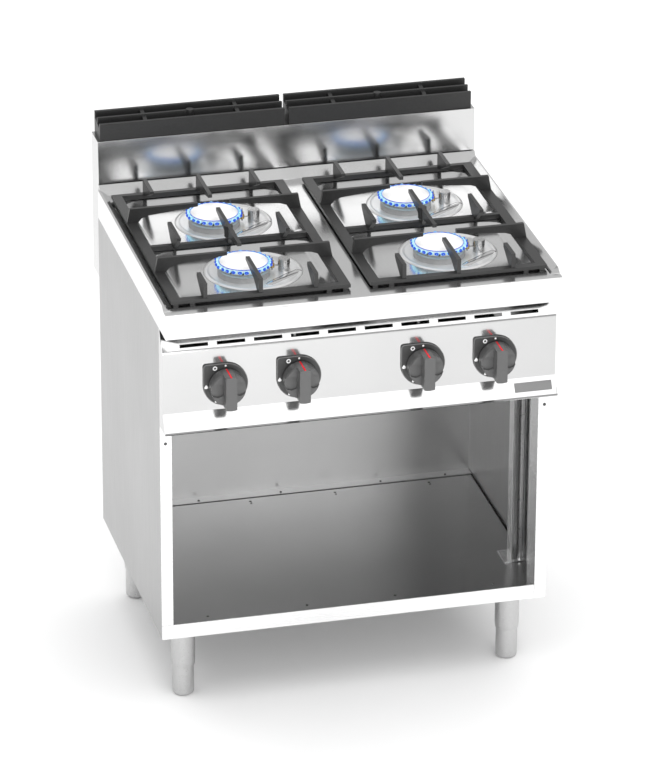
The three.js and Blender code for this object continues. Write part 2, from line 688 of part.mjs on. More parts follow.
// The frame under the floor that carries the legs: a flat ring with turned-down edges.
function baseFrame() {
  const x = SIDE_OUTER - SHEET - GAP;
  const y0 = BODY_FRONT + 16;
  const y1 = BODY_BACK - SHEET - GAP;
  const ring = cut(
    block(-x, x, y0, y1, BODY_BOTTOM, FRAME_TOP_Z),
    block(-x + SHEET, x - SHEET, y0 + SHEET, y1 - SHEET, BODY_BOTTOM - 1, FRAME_TOP_Z - SHEET),
    block(-300, 300, -160, 190, BODY_BOTTOM - 1, FRAME_TOP_Z + 1),
  );
  const riserHole = rod(PIPE_RADIUS + 3, BODY_BOTTOM, FRAME_TOP_Z + 1, 20).translate([RISER_X, RISER_Y, 0]);
  const inletHole = rodY(PIPE_RADIUS + 1, RISER_X, BODY_BOTTOM + 10, y1 - 5, y1 + 5, 20);
  const postNotch = block(POST_INNER - GAP, HALF_WIDTH, y0 - 1, BODY_FRONT + POST_DEPTH + GAP,
    BODY_BOTTOM - 1, FRAME_TOP_Z + 1);
  return cut(ring, riserHole, inletHole, postNotch);
}

function cabinetFloor() {
  const x = SIDE_OUTER - SHEET - GAP;
  const top = FLOOR_Z;
  const sheet = block(-x, x, BODY_FRONT + SHEET + GAP, BODY_BACK - SHEET - GAP, top - SHEET, top);
  const postNotches = [-1, 1].map((side) => {
    const a = side * (POST_INNER - GAP);
    const b = side * (x + 1);
    return block(Math.min(a, b), Math.max(a, b), BODY_FRONT, BODY_FRONT + POST_DEPTH + GAP, top - 5, top + 5);
  });
  const holes = [];
  for (const hx of [-298, -92, 92, 298]) {
    for (const hy of [-250, 243]) {
      holes.push(rod(3, top - 5, top + 5, 8).translate([hx, hy, 0]));
    }
  }
  const riserHole = rod(PIPE_RADIUS + 3, top - 5, top + 5, 20).translate([RISER_X, RISER_Y, 0]);
  return cut(sheet, ...postNotches, ...holes, riserHole);
}

// The cabinet's back wall, with a flange that lies on the floor and a pair of flanges up the corners.
function backPanel() {
  const x = SIDE_OUTER - SHEET - GAP;
  const wall = block(-x, x, BODY_BACK - SHEET, BODY_BACK, BODY_BOTTOM, BODY_TOP);
  const flange = block(-x + 0.5, x - 0.5, 260, BODY_BACK - 1, FLOOR_Z + GAP, FLOOR_Z + GAP + 1.5);
  const inletHole = rodY(PIPE_RADIUS + 1, RISER_X, BODY_BOTTOM + 10, BODY_BACK - 5, BODY_BACK + 5, 20);
  return cut(join(wall, flange), inletHole);
}

// The sheet that closes the burner compartment above the open cabinet.
function burnerBoxFloor() {
  return block(-POST_INNER + GAP, POST_INNER - GAP, BODY_FRONT + 6, BODY_BACK - SHEET - GAP, 652, 654);
}

// ---------------------------------------------------------------- flue

const FLUE_HALF = 398;
const GRILLE_OPENING = 362;

function flueBox() {
  const outer = alongX(outline([
    [BODY_BACK + GAP, FLUE_BOTTOM],
    [FLUE_BACK, FLUE_BOTTOM],
    [FLUE_BACK, FLUE_TOP],
    [289, FLUE_TOP],
    [285, HOB_Z + RISER_HEIGHT + 2],
    [BODY_BACK + GAP, HOB_Z + RISER_HEIGHT + 2],
  ]), -FLUE_HALF, FLUE_HALF);
  const inner = alongX(outline([
    [BODY_BACK + GAP + SHEET, FLUE_BOTTOM + SHEET],
    [FLUE_BACK - SHEET, FLUE_BOTTOM + SHEET],
    [FLUE_BACK - SHEET, FLUE_TOP - SHEET],
    [291, FLUE_TOP - SHEET],
    [BODY_BACK + GAP + SHEET, HOB_Z + RISER_HEIGHT + 4],
  ]), -FLUE_HALF + SHEET, FLUE_HALF - SHEET);
  const openings = [-1, 1].map((side) => {
    const x = side * GRILLE_X;
    return block(x - GRILLE_OPENING / 2, x + GRILLE_OPENING / 2, 304, 340, FLUE_TOP - 5, FLUE_TOP + 5);
  });
  return cut(outer, inner, ...openings);
}

const GRILLE_X = 198;
const GRILLE_LENGTH = 387;
const GRILLE_FRONT = 295;
const GRILLE_RISE = 11;          // the back bar stands this much above the front bar

// A cast flue grille: three long bars that rise to the back, cross webs, end plates and a middle boss.
function flueGrille(side) {
  const half = GRILLE_LENGTH / 2;
  const bottom = FLUE_TOP + GAP;
  const y0 = GRILLE_FRONT;
  const y1 = FLUE_BACK;
  const middle = (y0 + y1) / 2;
  const topAt = (y) => GRILLE_TOP + (GRILLE_RISE * (y - y0)) / (y1 - y0);
  const crossPlate = (x, width, foot, drop) => alongX(outline([
    [y0 + 1, foot], [y0 + 1, topAt(y0) - drop], [y1 - 1, topAt(y1) - drop], [y1 - 1, foot],
  ]), x, x + width);
  const parts = [
    block(-half, half, y0, y0 + 7, bottom, GRILLE_TOP),
    block(-half, half, middle - 3, middle + 3, bottom + 8, topAt(middle)),
    block(-half, half, y1 - 7, y1, bottom, topAt(y1)),
    rod(8, bottom + 10, topAt(middle) + 1, 16).translate([0, middle, 0]),
  ];
  for (const end of [-half, half - 7]) {
    parts.push(crossPlate(end, 7, bottom, 12));
  }
  for (const web of [-half / 2, half / 2]) {
    parts.push(crossPlate(web - 4, 8, bottom + 6, 3));
  }
  return join(...parts).translate([side * GRILLE_X, 0, 0]);
}

// ---------------------------------------------------------------- legs

const SLEEVE_RADIUS = 25;
const SLEEVE_BOTTOM = 66;
const FOOT_RADIUS = 22.3;
const FOOT_TOP = 116;

function legSleeve() {
  const top = FRAME_TOP_Z - SHEET - GAP;
  return turned([
    [0, top],
    [SLEEVE_RADIUS + 7, top],
    [SLEEVE_RADIUS + 7, top - 3],
    [SLEEVE_RADIUS, top - 3],
    [SLEEVE_RADIUS, SLEEVE_BOTTOM + 10],
    [FOOT_RADIUS + 1.4, SLEEVE_BOTTOM],
    [FOOT_RADIUS + GAP, SLEEVE_BOTTOM],
    [FOOT_RADIUS + GAP, top - 10],
    [0, top - 10],
  ].reverse(), 20);
}

function foot() {
  return turned([
    [0, 0],
    [FOOT_RADIUS - 6, 0],
    [FOOT_RADIUS - 2.4, 1.5],
    [FOOT_RADIUS - 0.5, 4],
    [FOOT_RADIUS, 7],
    [FOOT_RADIUS, FOOT_TOP],
    [0, FOOT_TOP],
  ], 20);
}

// ---------------------------------------------------------------- putting it together

add('hob_top', hobTop(), steel());
add('side_panel_left', sidePanel(-1), steel());
add('side_panel_right', sidePanel(1), steel());
add('back_panel', backPanel(), brushedSteel());
add('cabinet_floor', cabinetFloor(), brushedSteel());
add('base_frame', baseFrame(), brushedSteel());
add('base_rail', baseRail(), steel());
add('front_post_left', frontPost(-1, RAIL_TOP + GAP), steel());
add('front_post_right', frontPost(1, BODY_BOTTOM), steel());
add('burner_box_floor', burnerBoxFloor(), brushedSteel());
add('control_panel', controlPanel(), steel());
add('badge_plate', badgePlate(), legSteel());
add('flue_box', flueBox(), steel());
add('flue_grille_left', flueGrille(-1), blackIron());
add('flue_grille_right', flueGrille(1), blackIron());
add('pan_support_left', panSupport(-BURNER_X), castIron());
add('pan_support_right', panSupport(BURNER_X), castIron());
add('gas_manifold', gasManifold(), pipeMetal());
add('gas_riser', gasRiser(), pipeMetal());
add('riser_channel', riserChannel(), steel());

for (const burner of burners) {
  for (const [piece, solid, material] of [
    ['burner_base', burnerBase(), burnerAlloy()],
    ['burner_cap', burnerCap(), burnerAlloy()],
    ['pilot', pilotAssembly().translate([PILOT_OFFSET, 0, 0]), brushedSteel()],
  ]) {
    const mesh = add(`${piece}_${burner.name}`, solid, material);
    mesh.position.set(burner.x, burner.y, 0);
  }
}

burners.forEach((burner, i) => {
  const x = KNOB_XS[i];
  const level = burner.y > 0 ? 792 : 812;
  add(`gas_valve_${i + 1}`, gasValve(x), brass());
  add(`feed_pipe_${i + 1}`, feedPipe(x, burner, level), pipeMetal());
  add(`valve_stem_${i + 1}`, valveStem(x), pipeMetal());
  add(`bezel_${i + 1}`, bezel(x), bezelPlastic());
  add(`knob_${i + 1}`, knob(x), knobPlastic());
});

for (const [corner, x, y] of [
  ['front_left', -LEG_X, LEG_FRONT_Y],
  ['front_right', LEG_X, LEG_FRONT_Y],
  ['back_left', -LEG_X, LEG_BACK_Y],
  ['back_right', LEG_X, LEG_BACK_Y],
]) {
  for (const [piece, solid] of [['leg_sleeve', legSleeve()], ['foot', foot()]]) {
    const mesh = add(`${piece}_${corner}`, solid, legSteel());
    mesh.position.set(x, y, 0);
  }
}

export default range;
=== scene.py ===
"""Looks of the four-burner gas range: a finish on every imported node, and the small pieces on them.

Everything is in metres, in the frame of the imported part: +X right, +Y back, +Z up.
"""

import math

import bpy
from mathutils import Matrix, Vector


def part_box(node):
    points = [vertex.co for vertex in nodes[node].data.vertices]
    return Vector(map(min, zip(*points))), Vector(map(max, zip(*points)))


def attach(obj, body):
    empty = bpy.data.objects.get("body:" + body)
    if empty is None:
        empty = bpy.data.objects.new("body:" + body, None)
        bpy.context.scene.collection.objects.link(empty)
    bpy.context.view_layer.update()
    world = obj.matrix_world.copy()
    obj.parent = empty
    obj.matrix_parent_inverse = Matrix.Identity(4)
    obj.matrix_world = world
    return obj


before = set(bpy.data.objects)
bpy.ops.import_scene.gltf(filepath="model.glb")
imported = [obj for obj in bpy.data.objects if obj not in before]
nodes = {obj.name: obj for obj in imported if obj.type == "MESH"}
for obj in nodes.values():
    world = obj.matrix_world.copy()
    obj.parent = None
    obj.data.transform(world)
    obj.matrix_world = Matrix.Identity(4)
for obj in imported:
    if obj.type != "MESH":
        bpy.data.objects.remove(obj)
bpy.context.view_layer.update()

MM = 0.001
BURNERS = ("left_rear", "left_front", "right_front", "right_rear")
KNOBS = (1, 2, 3, 4)
SIDES = ("left", "right")
CORNERS = ("front_left", "front_right", "back_left", "back_right")

# Camera: direction, roll and place
VIEW_AZIMUTH = math.radians(-14.261)
VIEW_ELEVATION = math.radians(24.672)
VIEW_ROLL = math.radians(0.202)
CAMERA_PLACE = (-2.3065, -9.0728, 4.8547)
CAMERA_LENS = 235.32


# ---------------------------------------------------------------- materials

def new_material(name):
    material = bpy.data.materials.new(name)
    material.use_nodes = True
    return material, material.node_tree, material.node_tree.nodes["Principled BSDF"]


def grain(tree, stretch, detail=3.0):
    """Noise on the part's own coordinates. stretch is in waves per metre along X, Y and Z."""
    place = tree.nodes.new("ShaderNodeTexCoord")
    mapping = tree.nodes.new("ShaderNodeMapping")
    texture = tree.nodes.new("ShaderNodeTexNoise")
    mapping.inputs["Scale"].default_value = stretch
    texture.inputs["Scale"].default_value = 1.0
    texture.inputs["Detail"].default_value = detail
    tree.links.new(place.outputs["Object"], mapping.inputs["Vector"])
    tree.links.new(mapping.outputs["Vector"], texture.inputs["Vector"])
    return texture.outputs["Fac"]


def spread(tree, value, low, high):
    """The noise value stretched to run between low and high."""
    node = tree.nodes.new("ShaderNodeMapRange")
    node.inputs["From Min"].default_value = 0.3
    node.inputs["From Max"].default_value = 0.7
    node.inputs["To Min"].default_value = low
    node.inputs["To Max"].default_value = high
    tree.links.new(value, node.inputs["Value"])
    return node.outputs["Result"]


def ramp(tree, value, stops):
    """Colours along a value; stops are (place, grey or colour)."""
    node = tree.nodes.new("ShaderNodeValToRGB")
    elements = node.color_ramp.elements
    while len(elements) < len(stops):
        elements.new(0.5)
    for element, (place, colour) in zip(elements, stops):
        element.position = place
        rgb = (colour,) * 3 if isinstance(colour, (int, float)) else colour
        element.color = (*rgb, 1.0)
    tree.links.new(value, node.inputs["Fac"])
    return node.outputs["Color"]


def bump(tree, value, strength, distance):
    node = tree.nodes.new("ShaderNodeBump")
    node.inputs["Strength"].default_value = strength
    node.inputs["Distance"].default_value = distance
    tree.links.new(value, node.inputs["Height"])
    return node.outputs["Normal"]


def surface(name, dark, light, roughness, stretch, relief=0.1, metallic=0.0, depth=0.0002, clouds=None):
    """One finish: colour, roughness and relief all follow the same grain."""
    material, tree, shader = new_material(name)
    fine = grain(tree, stretch)
    tone = grain(tree, clouds) if clouds else fine
    tree.links.new(ramp(tree, tone, [(0.3, dark), (0.7, light)]), shader.inputs["Base Color"])
    tree.links.new(spread(tree, fine, *roughness), shader.inputs["Roughness"])
    tree.links.new(bump(tree, fine, relief, depth), shader.inputs["Normal"])
    shader.inputs["Metallic"].default_value = metallic
    return material


def steel(name, dark, light, roughness, stretch, relief=0.06, clouds=(3, 3, 3)):
    return surface(name, dark, light, roughness, stretch, relief, 1.0, 0.0001, clouds)


# Brushed grain: few waves along the brushing, many across it
ALONG_X = (12, 900, 900)
ALONG_Z = (900, 900, 12)
PLASTIC_GRAIN = (1500, 1500, 1500)
IRON_GRAIN = (700, 700, 700)
PAINT_GRAIN = (900, 900, 900)

hob_steel = steel("hob_steel", 0.76, 0.84, (0.14, 0.22), (9, 9, 9), 0.05)
panel_steel = steel("panel_steel", 0.54, 0.58, (0.10, 0.15), ALONG_X, 0.015)
edge_steel = steel("edge_steel", 0.86, 0.92, (0.22, 0.30), ALONG_X)
# The side panels: a rougher brushing up the panel, and a darker grey than the other steel that is painted
# shade, since the sides look darker than the front and top
side_steel_painted_shade = steel("side_steel_painted_shade", 0.39, 0.44, (0.30, 0.40), ALONG_Z, 0.04)
wall_steel = steel("wall_steel", 0.54, 0.60, (0.28, 0.29), (400, 400, 6), 0.002)
floor_steel = steel("floor_steel", 0.42, 0.48, (0.21, 0.24), (8, 400, 400), 0.004)
splash_steel = steel("splash_steel", 0.58, 0.66, (0.15, 0.19), (6, 60, 60), 0.03)
channel_steel = steel("channel_steel", 0.66, 0.82, (0.20, 0.30), ALONG_Z)
leg_steel = steel("leg_steel", 0.54, 0.58, (0.26, 0.34), (300, 300, 900), 0.01)
plate_steel = steel("plate_steel", 0.17, 0.24, (0.28, 0.36), ALONG_X, 0.08)
pipe_steel = steel("pipe_steel", 0.50, 0.62, (0.25, 0.40), (200, 200, 200))
pilot_steel = steel("pilot_steel", 0.56, 0.68, (0.22, 0.32), (300, 300, 900), 0.02)
screw_steel = steel("screw_steel", 0.10, 0.18, (0.30, 0.45), PAINT_GRAIN)
shadow_line = steel("shadow_line", 0.03, 0.06, (0.50, 0.60), (400, 400, 400))
dish_steel = steel("dish_steel", 0.80, 0.90, (0.28, 0.38), (40, 40, 40), 0.02)
dish_steel.node_tree.nodes["Principled BSDF"].inputs["Metallic"].default_value = 0.7
alloy = surface("alloy", 0.40, 0.52, (0.34, 0.46), (500, 500, 1400), 0.08, 0.6)
cap_alloy = surface("cap_alloy", 0.72, 0.84, (0.45, 0.55), (500, 500, 500), 0.05, 0.0)
brass = surface("brass", (0.60, 0.38, 0.12), (0.78, 0.54, 0.20), (0.22, 0.34), (300, 300, 300), 0.05, 1.0)
grate_iron = surface("grate_iron", 0.016, 0.032, (0.30, 0.44), IRON_GRAIN, 0.20, 0.0, 0.0003)
flue_iron = surface("flue_iron", 0.014, 0.026, (0.36, 0.50), IRON_GRAIN, 0.20, 0.0, 0.0003)
knob_plastic = surface("knob_plastic", 0.085, 0.115, (0.34, 0.44), PLASTIC_GRAIN, 0.06)
dial_plastic = surface("dial_plastic", 0.035, 0.048, (0.30, 0.40), PLASTIC_GRAIN, 0.05)
# The rim's lighter grey is a painted highlight: the edge of the dial plate drawn lighter than the plate,
# where light falls on it
rim_plastic_painted_light = surface("rim_plastic_painted_light", 0.14, 0.19, (0.30, 0.40), PLASTIC_GRAIN, 0.05)
red_paint = surface("red_paint", (0.80, 0.004, 0.012), (0.95, 0.010, 0.03), (0.40, 0.50), PAINT_GRAIN, 0.02)
white_paint = surface("white_paint", 0.86, 0.94, (0.40, 0.50), PAINT_GRAIN, 0.02)


def flame_material(name, dark, light):
    """Light given off by the gas flame, a little uneven along its length."""
    material, tree, shader = new_material(name)
    fine = grain(tree, (260, 260, 260))
    tree.links.new(ramp(tree, fine, [(0.35, dark), (0.65, light)]), shader.inputs["Emission Color"])
    tree.links.new(ramp(tree, fine, [(0.3, 0.01), (0.7, 0.03)]), shader.inputs["Base Color"])
    shader.inputs["Emission Strength"].default_value = 1.0
    shader.inputs["Roughness"].default_value = 0.8
    shader.inputs["Specular IOR Level"].default_value = 0.0
    return material


flame_core = flame_material("flame_core", (0.22, 0.72, 1.0), (0.72, 0.97, 1.0))
flame_edge = flame_material("flame_edge", (0.015, 0.06, 0.62), (0.05, 0.16, 0.85))

FINISHES = {
    "hob_top": hob_steel,
    "side_panel_left": side_steel_painted_shade,
    "side_panel_right": side_steel_painted_shade,
    "base_rail": edge_steel,
    "front_post_left": edge_steel,
    "front_post_right": edge_steel,
    "control_panel": panel_steel,
    "flue_box": splash_steel,
    "back_panel": wall_steel,
    "cabinet_floor": floor_steel,
    "base_frame": floor_steel,
    "burner_box_floor": floor_steel,
    "riser_channel": channel_steel,
    "badge_plate": plate_steel,
    "gas_manifold": pipe_steel,
    "gas_riser": pipe_steel,
}
for side in SIDES:
    FINISHES["flue_grille_" + side] = flue_iron
    FINISHES["pan_support_" + side] = grate_iron
for burner in BURNERS:
    FINISHES["burner_base_" + burner] = alloy
    FINISHES["burner_cap_" + burner] = cap_alloy
    FINISHES["pilot_" + burner] = pilot_steel
for n in KNOBS:
    FINISHES[f"gas_valve_{n}"] = brass
    FINISHES[f"feed_pipe_{n}"] = pipe_steel
    FINISHES[f"valve_stem_{n}"] = pipe_steel
    FINISHES[f"bezel_{n}"] = dial_plastic
    FINISHES[f"knob_{n}"] = knob_plastic
for corner in CORNERS:
    FINISHES["leg_sleeve_" + corner] = leg_steel
    FINISHES["foot_" + corner] = leg_steel

# Edge rounding in metres; nodes not named here get the small default
ROUNDING = {"hob_top": 0.6 * MM, "control_panel": 0.4 * MM, "flue_box": 0.6 * MM}
for side in SIDES:
    ROUNDING["pan_support_" + side] = 1.1 * MM
    ROUNDING["flue_grille_" + side] = 1.0 * MM
for n in KNOBS:
    ROUNDING[f"knob_{n}"] = 1.2 * MM
    ROUNDING[f"bezel_{n}"] = 0.8 * MM
SMALL_ROUNDING = 0.4 * MM
WELD_DISTANCE = 0.01 * MM
FLAT_ANGLE = math.radians(0.5)     # faces closer than this to one plane are joined
SHARP_ANGLE = math.radians(40)
FOLD_ANGLE = math.radians(25)      # the shallow folds of a sheet part are sharp too
FOLDED_SHEETS = ("control_panel",)   # rounded on the faces as packed, because the lip has short folds


def shading_group():
    """Geometry nodes that shade smooth across shallow edges and keep sharp edges crisp."""
    group = bpy.data.node_groups.new("shade_by_angle", "GeometryNodeTree")
    group.interface.new_socket("Geometry", in_out="INPUT", socket_type="NodeSocketGeometry")
    group.interface.new_socket("Geometry", in_out="OUTPUT", socket_type="NodeSocketGeometry")
    start = group.nodes.new("NodeGroupInput")
    end = group.nodes.new("NodeGroupOutput")
    faces = group.nodes.new("GeometryNodeSetShadeSmooth")
    edges = group.nodes.new("GeometryNodeSetShadeSmooth")
    edges.domain = "EDGE"
    edges.inputs["Shade Smooth"].default_value = False
    angle = group.nodes.new("GeometryNodeInputMeshEdgeAngle")
    sharp = group.nodes.new("FunctionNodeCompare")
    sharp.operation = "GREATER_THAN"
    sharp.inputs["B"].default_value = SHARP_ANGLE
    group.links.new(start.outputs[0], faces.inputs["Geometry"])
    group.links.new(faces.outputs["Geometry"], edges.inputs["Geometry"])
    group.links.new(angle.outputs["Unsigned Angle"], sharp.inputs["A"])
    group.links.new(sharp.outputs["Result"], edges.inputs["Selection"])
    group.links.new(edges.outputs["Geometry"], end.inputs[0])
    return group


shade_by_angle = shading_group()


def soften(piece, width):
    """Joins the flat faces, rounds the sharp edges and evens the shading."""
    folded = piece.name in FOLDED_SHEETS
    weld = piece.modifiers.new("weld", "WELD")
    weld.merge_threshold = WELD_DISTANCE
    if not folded:
        flat = piece.modifiers.new("flat_faces", "DECIMATE")
        flat.decimate_type = "DISSOLVE"
        flat.angle_limit = FLAT_ANGLE
    edges = piece.modifiers.new("edges", "BEVEL")
    edges.width = width
    edges.segments = 2
    edges.limit_method = "ANGLE"
    edges.angle_limit = FOLD_ANGLE if folded else SHARP_ANGLE
    smooth = piece.modifiers.new("shading", "NODES")
    smooth.node_group = shade_by_angle
    normals = piece.modifiers.new("normals", "WEIGHTED_NORMAL")
    normals.keep_sharp = True


for name, finish in FINISHES.items():
    piece = nodes[name]
    piece.data.materials.clear()
    piece.data.materials.append(finish)
    soften(piece, ROUNDING.get(name, SMALL_ROUNDING))


# ---------------------------------------------------------------- mesh helpers

def turns(count):
    """Angles in radians of equal steps round a full turn."""
    return [2 * math.pi * i / count for i in range(count)]


def arc(start, end, count):
    """Angles in radians from start to end in degrees, both included."""
    return [math.radians(start + (end - start) * i / (count - 1)) for i in range(count)]


def piece_from(name, points, faces, finish, body):
    """A new piece from points in the part's frame, riding a body."""
    mesh = bpy.data.meshes.new(name)
    mesh.from_pydata([tuple(p) for p in points], [], faces)
    mesh.validate()
    mesh.update()
    mesh.shade_smooth()
    mesh.materials.append(finish)
    obj = bpy.data.objects.new(name, mesh)
    bpy.context.scene.collection.objects.link(obj)
    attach(obj, body)
    return obj


class Shape:
    """Points and faces gathered from several simple forms."""

    def __init__(self):
        self.points = []
        self.faces = []

    def loop_surface(self, loops, capped=True):
        """Joins closed loops of equal length, one after the other."""
        start = len(self.points)
        count = len(loops[0])
        for loop in loops:
            self.points += loop
        for i in range(len(loops) - 1):
            for j in range(count):
                k = (j + 1) % count
                a = start + i * count
                b = a + count
                self.faces.append((a + j, a + k, b + k, b + j))
        if capped:
            self.faces.append(tuple(start + j for j in reversed(range(count))))
            last = start + (len(loops) - 1) * count
            self.faces.append(tuple(last + j for j in range(count)))

    def lathe(self, centre, profile, steps, closed=False):
        """Turns (radius, height) points round a vertical line through centre."""
        cx, cy = centre
        loops = []
        for a in turns(steps):
            loops.append([Vector((cx + r * math.cos(a), cy + r * math.sin(a), z)) for r, z in profile])
        start = len(self.points)
        count = len(profile)
        for loop in loops:
            self.points += loop
        sides = count if closed else count - 1
        for i in range(steps):
            for j in range(sides):
                a = start + i * count
                b = start + ((i + 1) % steps) * count
                k = (j + 1) % count
                self.faces.append((a + j, b + j, b + k, a + k))

    def raised(self, outline, back, front, inset):
        """A flat mark on a face that looks along -Y: an outline of (x, z) points with a sloped edge."""
        middle = Vector((sum(p[0] for p in outline), sum(p[1] for p in outline))) / len(outline)
        rings = []
        for y, shrink in ((back, 0.0), (front + inset, 0.0), (front, inset)):
            ring = []
            for x, z in outline:
                step = Vector((x, z)) - middle
                step = step * max(0.0, 1 - shrink / max(step.length, 1e-6))
                ring.append(Vector((middle.x + step.x, y, middle.y + step.y)))
            rings.append(ring)
        self.loop_surface(rings)


def circle(cx, cz, radius, count=16):
    return [(cx + radius * math.cos(t), cz + radius * math.sin(t)) for t in turns(count)]


def teardrop(cx, cz, width, height, count=16):
    """A small flame outline with its point upward."""
    return [
        (cx + width * math.sin(t) * math.sin(t / 2) ** 1.5, cz + height / 2 * math.cos(t))
        for t in turns(count)
    ]


def middle_of(node):
    """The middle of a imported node's box."""
    low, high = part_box(node)
    return (low + high) / 2


# ---------------------------------------------------------------- dials and knobs

DIAL_RADIUS = 45 * MM
DIAL_CORNER = 6 * MM
RIM_HALF_WIDTH = 0.9 * MM
RIM_IN = 1.0 * MM                  # from the edge of the plate to the middle of its rim
MARK_PROUD = 0.25 * MM
MARK_SUNK = 0.05 * MM
MARK_INSET = 0.08 * MM
LINE_HALF_WIDTH = 1.7 * MM
LINE_PROUD = 0.35 * MM
LINE_SUNK = 1.5 * MM


def knob_axis(n):
    """The place of a knob's axis across and up the panel."""
    low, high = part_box(f"knob_{n}")
    return (low.x + high.x) / 2, (low.z + high.z) / 2


def on_dial(axis, degrees, reach):
    """A place on the dial, counted anticlockwise from the top."""
    a = math.radians(degrees)
    return axis[0] - reach * math.sin(a), axis[1] + reach * math.cos(a)


def dial_marks(n):
    """A dot at the top, a ring for off, and a large and a small flame."""
    axis = knob_axis(n)
    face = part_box(f"bezel_{n}")[0].y
    back, front = face + MARK_SUNK, face - MARK_PROUD
    shape = Shape()
    shape.raised(circle(*on_dial(axis, 0, 39.5 * MM), 2.1 * MM, 12), back, front, MARK_INSET)
    shape.raised(teardrop(*on_dial(axis, 93, 39.2 * MM), 5.4 * MM, 8.6 * MM), back, front, MARK_INSET)
    shape.raised(teardrop(*on_dial(axis, 150, 40 * MM), 3.4 * MM, 6.4 * MM), back, front, MARK_INSET)
    cx, cz = on_dial(axis, 31, 41.5 * MM)
    rings = [
        [Vector((x, y, z)) for x, z in circle(cx, cz, radius, 20)]
        for radius, y in ((4.6 * MM, back), (4.6 * MM, front), (2.3 * MM, front), (2.3 * MM, back))
    ]
    shape.loop_surface(rings + [rings[0]], capped=False)
    return piece_from(f"dial_marks_{n}", shape.points, shape.faces, white_paint, "root")


def dial_rim(n):
    """The raised border round the dial plate, in a lighter plastic that is a painted highlight: the edge of
    the plate drawn lighter where light falls on it.
    """
    axis = knob_axis(n)
    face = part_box(f"bezel_{n}")[0].y
    r, c = DIAL_RADIUS - RIM_IN, DIAL_CORNER
    outline = [(-r + c + c * math.cos(t), r - c + c * math.sin(t)) for t in arc(90, 180, 5)]
    outline += [(r * math.cos(t), r * math.sin(t)) for t in arc(180, 450, 44)]
    shape = Shape()
    loops = []
    for i, (x, z) in enumerate(outline):
        before, after = Vector(outline[i - 1]), Vector(outline[(i + 1) % len(outline)])
        along = (after - before).normalized()
        out = Vector((along.y, -along.x))
        section = []
        for t in arc(0, 315, 8):
            reach, lift = RIM_HALF_WIDTH * math.cos(t), 0.55 * RIM_HALF_WIDTH * math.sin(t)
            section.append(Vector((axis[0] + x + out.x * reach, face - lift, axis[1] + z + out.y * reach)))
        loops.append(section)
    shape.loop_surface(loops + [loops[0]], capped=False)
    return piece_from(f"dial_rim_{n}", shape.points, shape.faces, rim_plastic_painted_light, "root")


def knob_line(n):
    """The red line along the top end of the grip, from the dial to the front of the knob."""
    low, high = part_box(f"knob_{n}")
    cx = (low.x + high.x) / 2
    half, top = LINE_HALF_WIDTH, high.z
    stations = (
        (high.y - 1.5 * MM, 0.0),
        (high.y - 2.0 * MM, LINE_PROUD),
        (low.y + 1.6 * MM, LINE_PROUD),
        (low.y + 0.9 * MM, 0.0),
    )
    loops = []
    for y, lift in stations:
        loops.append([
            Vector((cx - half, y, top - LINE_SUNK)),
            Vector((cx - half, y, top + lift * 0.6)),
            Vector((cx - half * 0.7, y, top + lift)),
            Vector((cx + half * 0.7, y, top + lift)),
            Vector((cx + half, y, top + lift * 0.6)),
            Vector((cx + half, y, top - LINE_SUNK)),
        ])
    shape = Shape()
    shape.loop_surface(loops)
    return piece_from(f"knob_line_{n}", shape.points, shape.faces, red_paint, f"knob_{n}")


for n in KNOBS:
    dial_marks(n)
    dial_rim(n)
    knob_line(n)


# ---------------------------------------------------------------- burners

WELL_FLOOR = 888 * MM
DISH_OFFSET = Vector((22, 12)) * MM         # from the burner's axis to the middle of its dish
# Radius and height of the dish over the well's floor, in mm, from the middle out and back underneath
DISH_PROFILE = (
    (0.01, 1.3), (60, 1.3), (80, 1.1), (86, 0.7), (88.5, 1.2), (90.5, 2.3), (92.5, 2.6), (94.5, 2.1),
    (97, 0.6), (98.5, 0.02), (60, 0.02), (0.01, 0.02),
)
RIB_START = Vector((30 * MM, -66 * MM, 0))  # from the burner's axis
RIB_END = Vector((116 * MM, -5 * MM, 0))
RIB_HALF_WIDTH = 8.5 * MM
RIB_HEIGHT = 4.2 * MM
RIB_STEPS = 20
TONGUES = 26
FLAME_LENGTH = 12 * MM
FLAME_RISE = math.radians(14)
FLAME_DROP = 7 * MM                         # below the top of the cap
# Share of a tongue's length and its half width there in mm
FLAME_OUTLINE = ((0.0, 3.6), (0.2, 5.0), (0.45, 5.4), (0.66, 4.6), (0.84, 3.0), (1.0, 0.6))
FLAME_SIDES = 10
FLAME_TIP_BANDS = (3, 4)                    # counted from the root; these burn blue
BLUE_RING_RISE = 5.4 * MM                   # over the roots of the flames
NUT_RADIUS = 4.5 * MM
# Radius and height over the well's floor, in mm, of the collar on the nut
COLLAR_PROFILE = ((1.9, 17.4), (3.0, 17.4), (3.2, 18.0), (3.2, 23.0), (2.8, 23.6), (1.9, 23.6))


def pressed_dish(burner):
    """The round pressing that the burner and its pilot stand on, with a raised ring at its edge."""
    centre = middle_of("burner_cap_" + burner).xy + DISH_OFFSET
    shape = Shape()
    shape.lathe(centre, [(r * MM, WELL_FLOOR + z * MM) for r, z in DISH_PROFILE], 72, closed=True)
    return piece_from("well_dish_" + burner, shape.points, shape.faces, dish_steel, "root")


def pressed_rib(burner):
    """The slanting rib that stiffens the well between the burner and its right front corner."""
    cap = middle_of("burner_cap_" + burner)
    foot = Vector((cap.x, cap.y, WELL_FLOOR))
    start, end = foot + RIB_START, foot + RIB_END
    along = (end - start).normalized()
    across = Vector((-along.y, along.x, 0))
    loops = []
    for i in range(RIB_STEPS + 1):
        t = i / RIB_STEPS
        swell = math.sqrt(max(0.0, 1 - (2 * t - 1) ** 6))
        middle = start.lerp(end, t)
        half, height = RIB_HALF_WIDTH * (0.08 + swell), RIB_HEIGHT * swell
        loops.append([
            middle + across * half * math.cos(u) + Vector((0, 0, 0.1 * MM + height * math.sin(u)))
            for u in arc(0, 180, 9)
        ])
    shape = Shape()
    shape.loop_surface(loops)
    return piece_from("well_rib_" + burner, shape.points, shape.faces, hob_steel, "root")


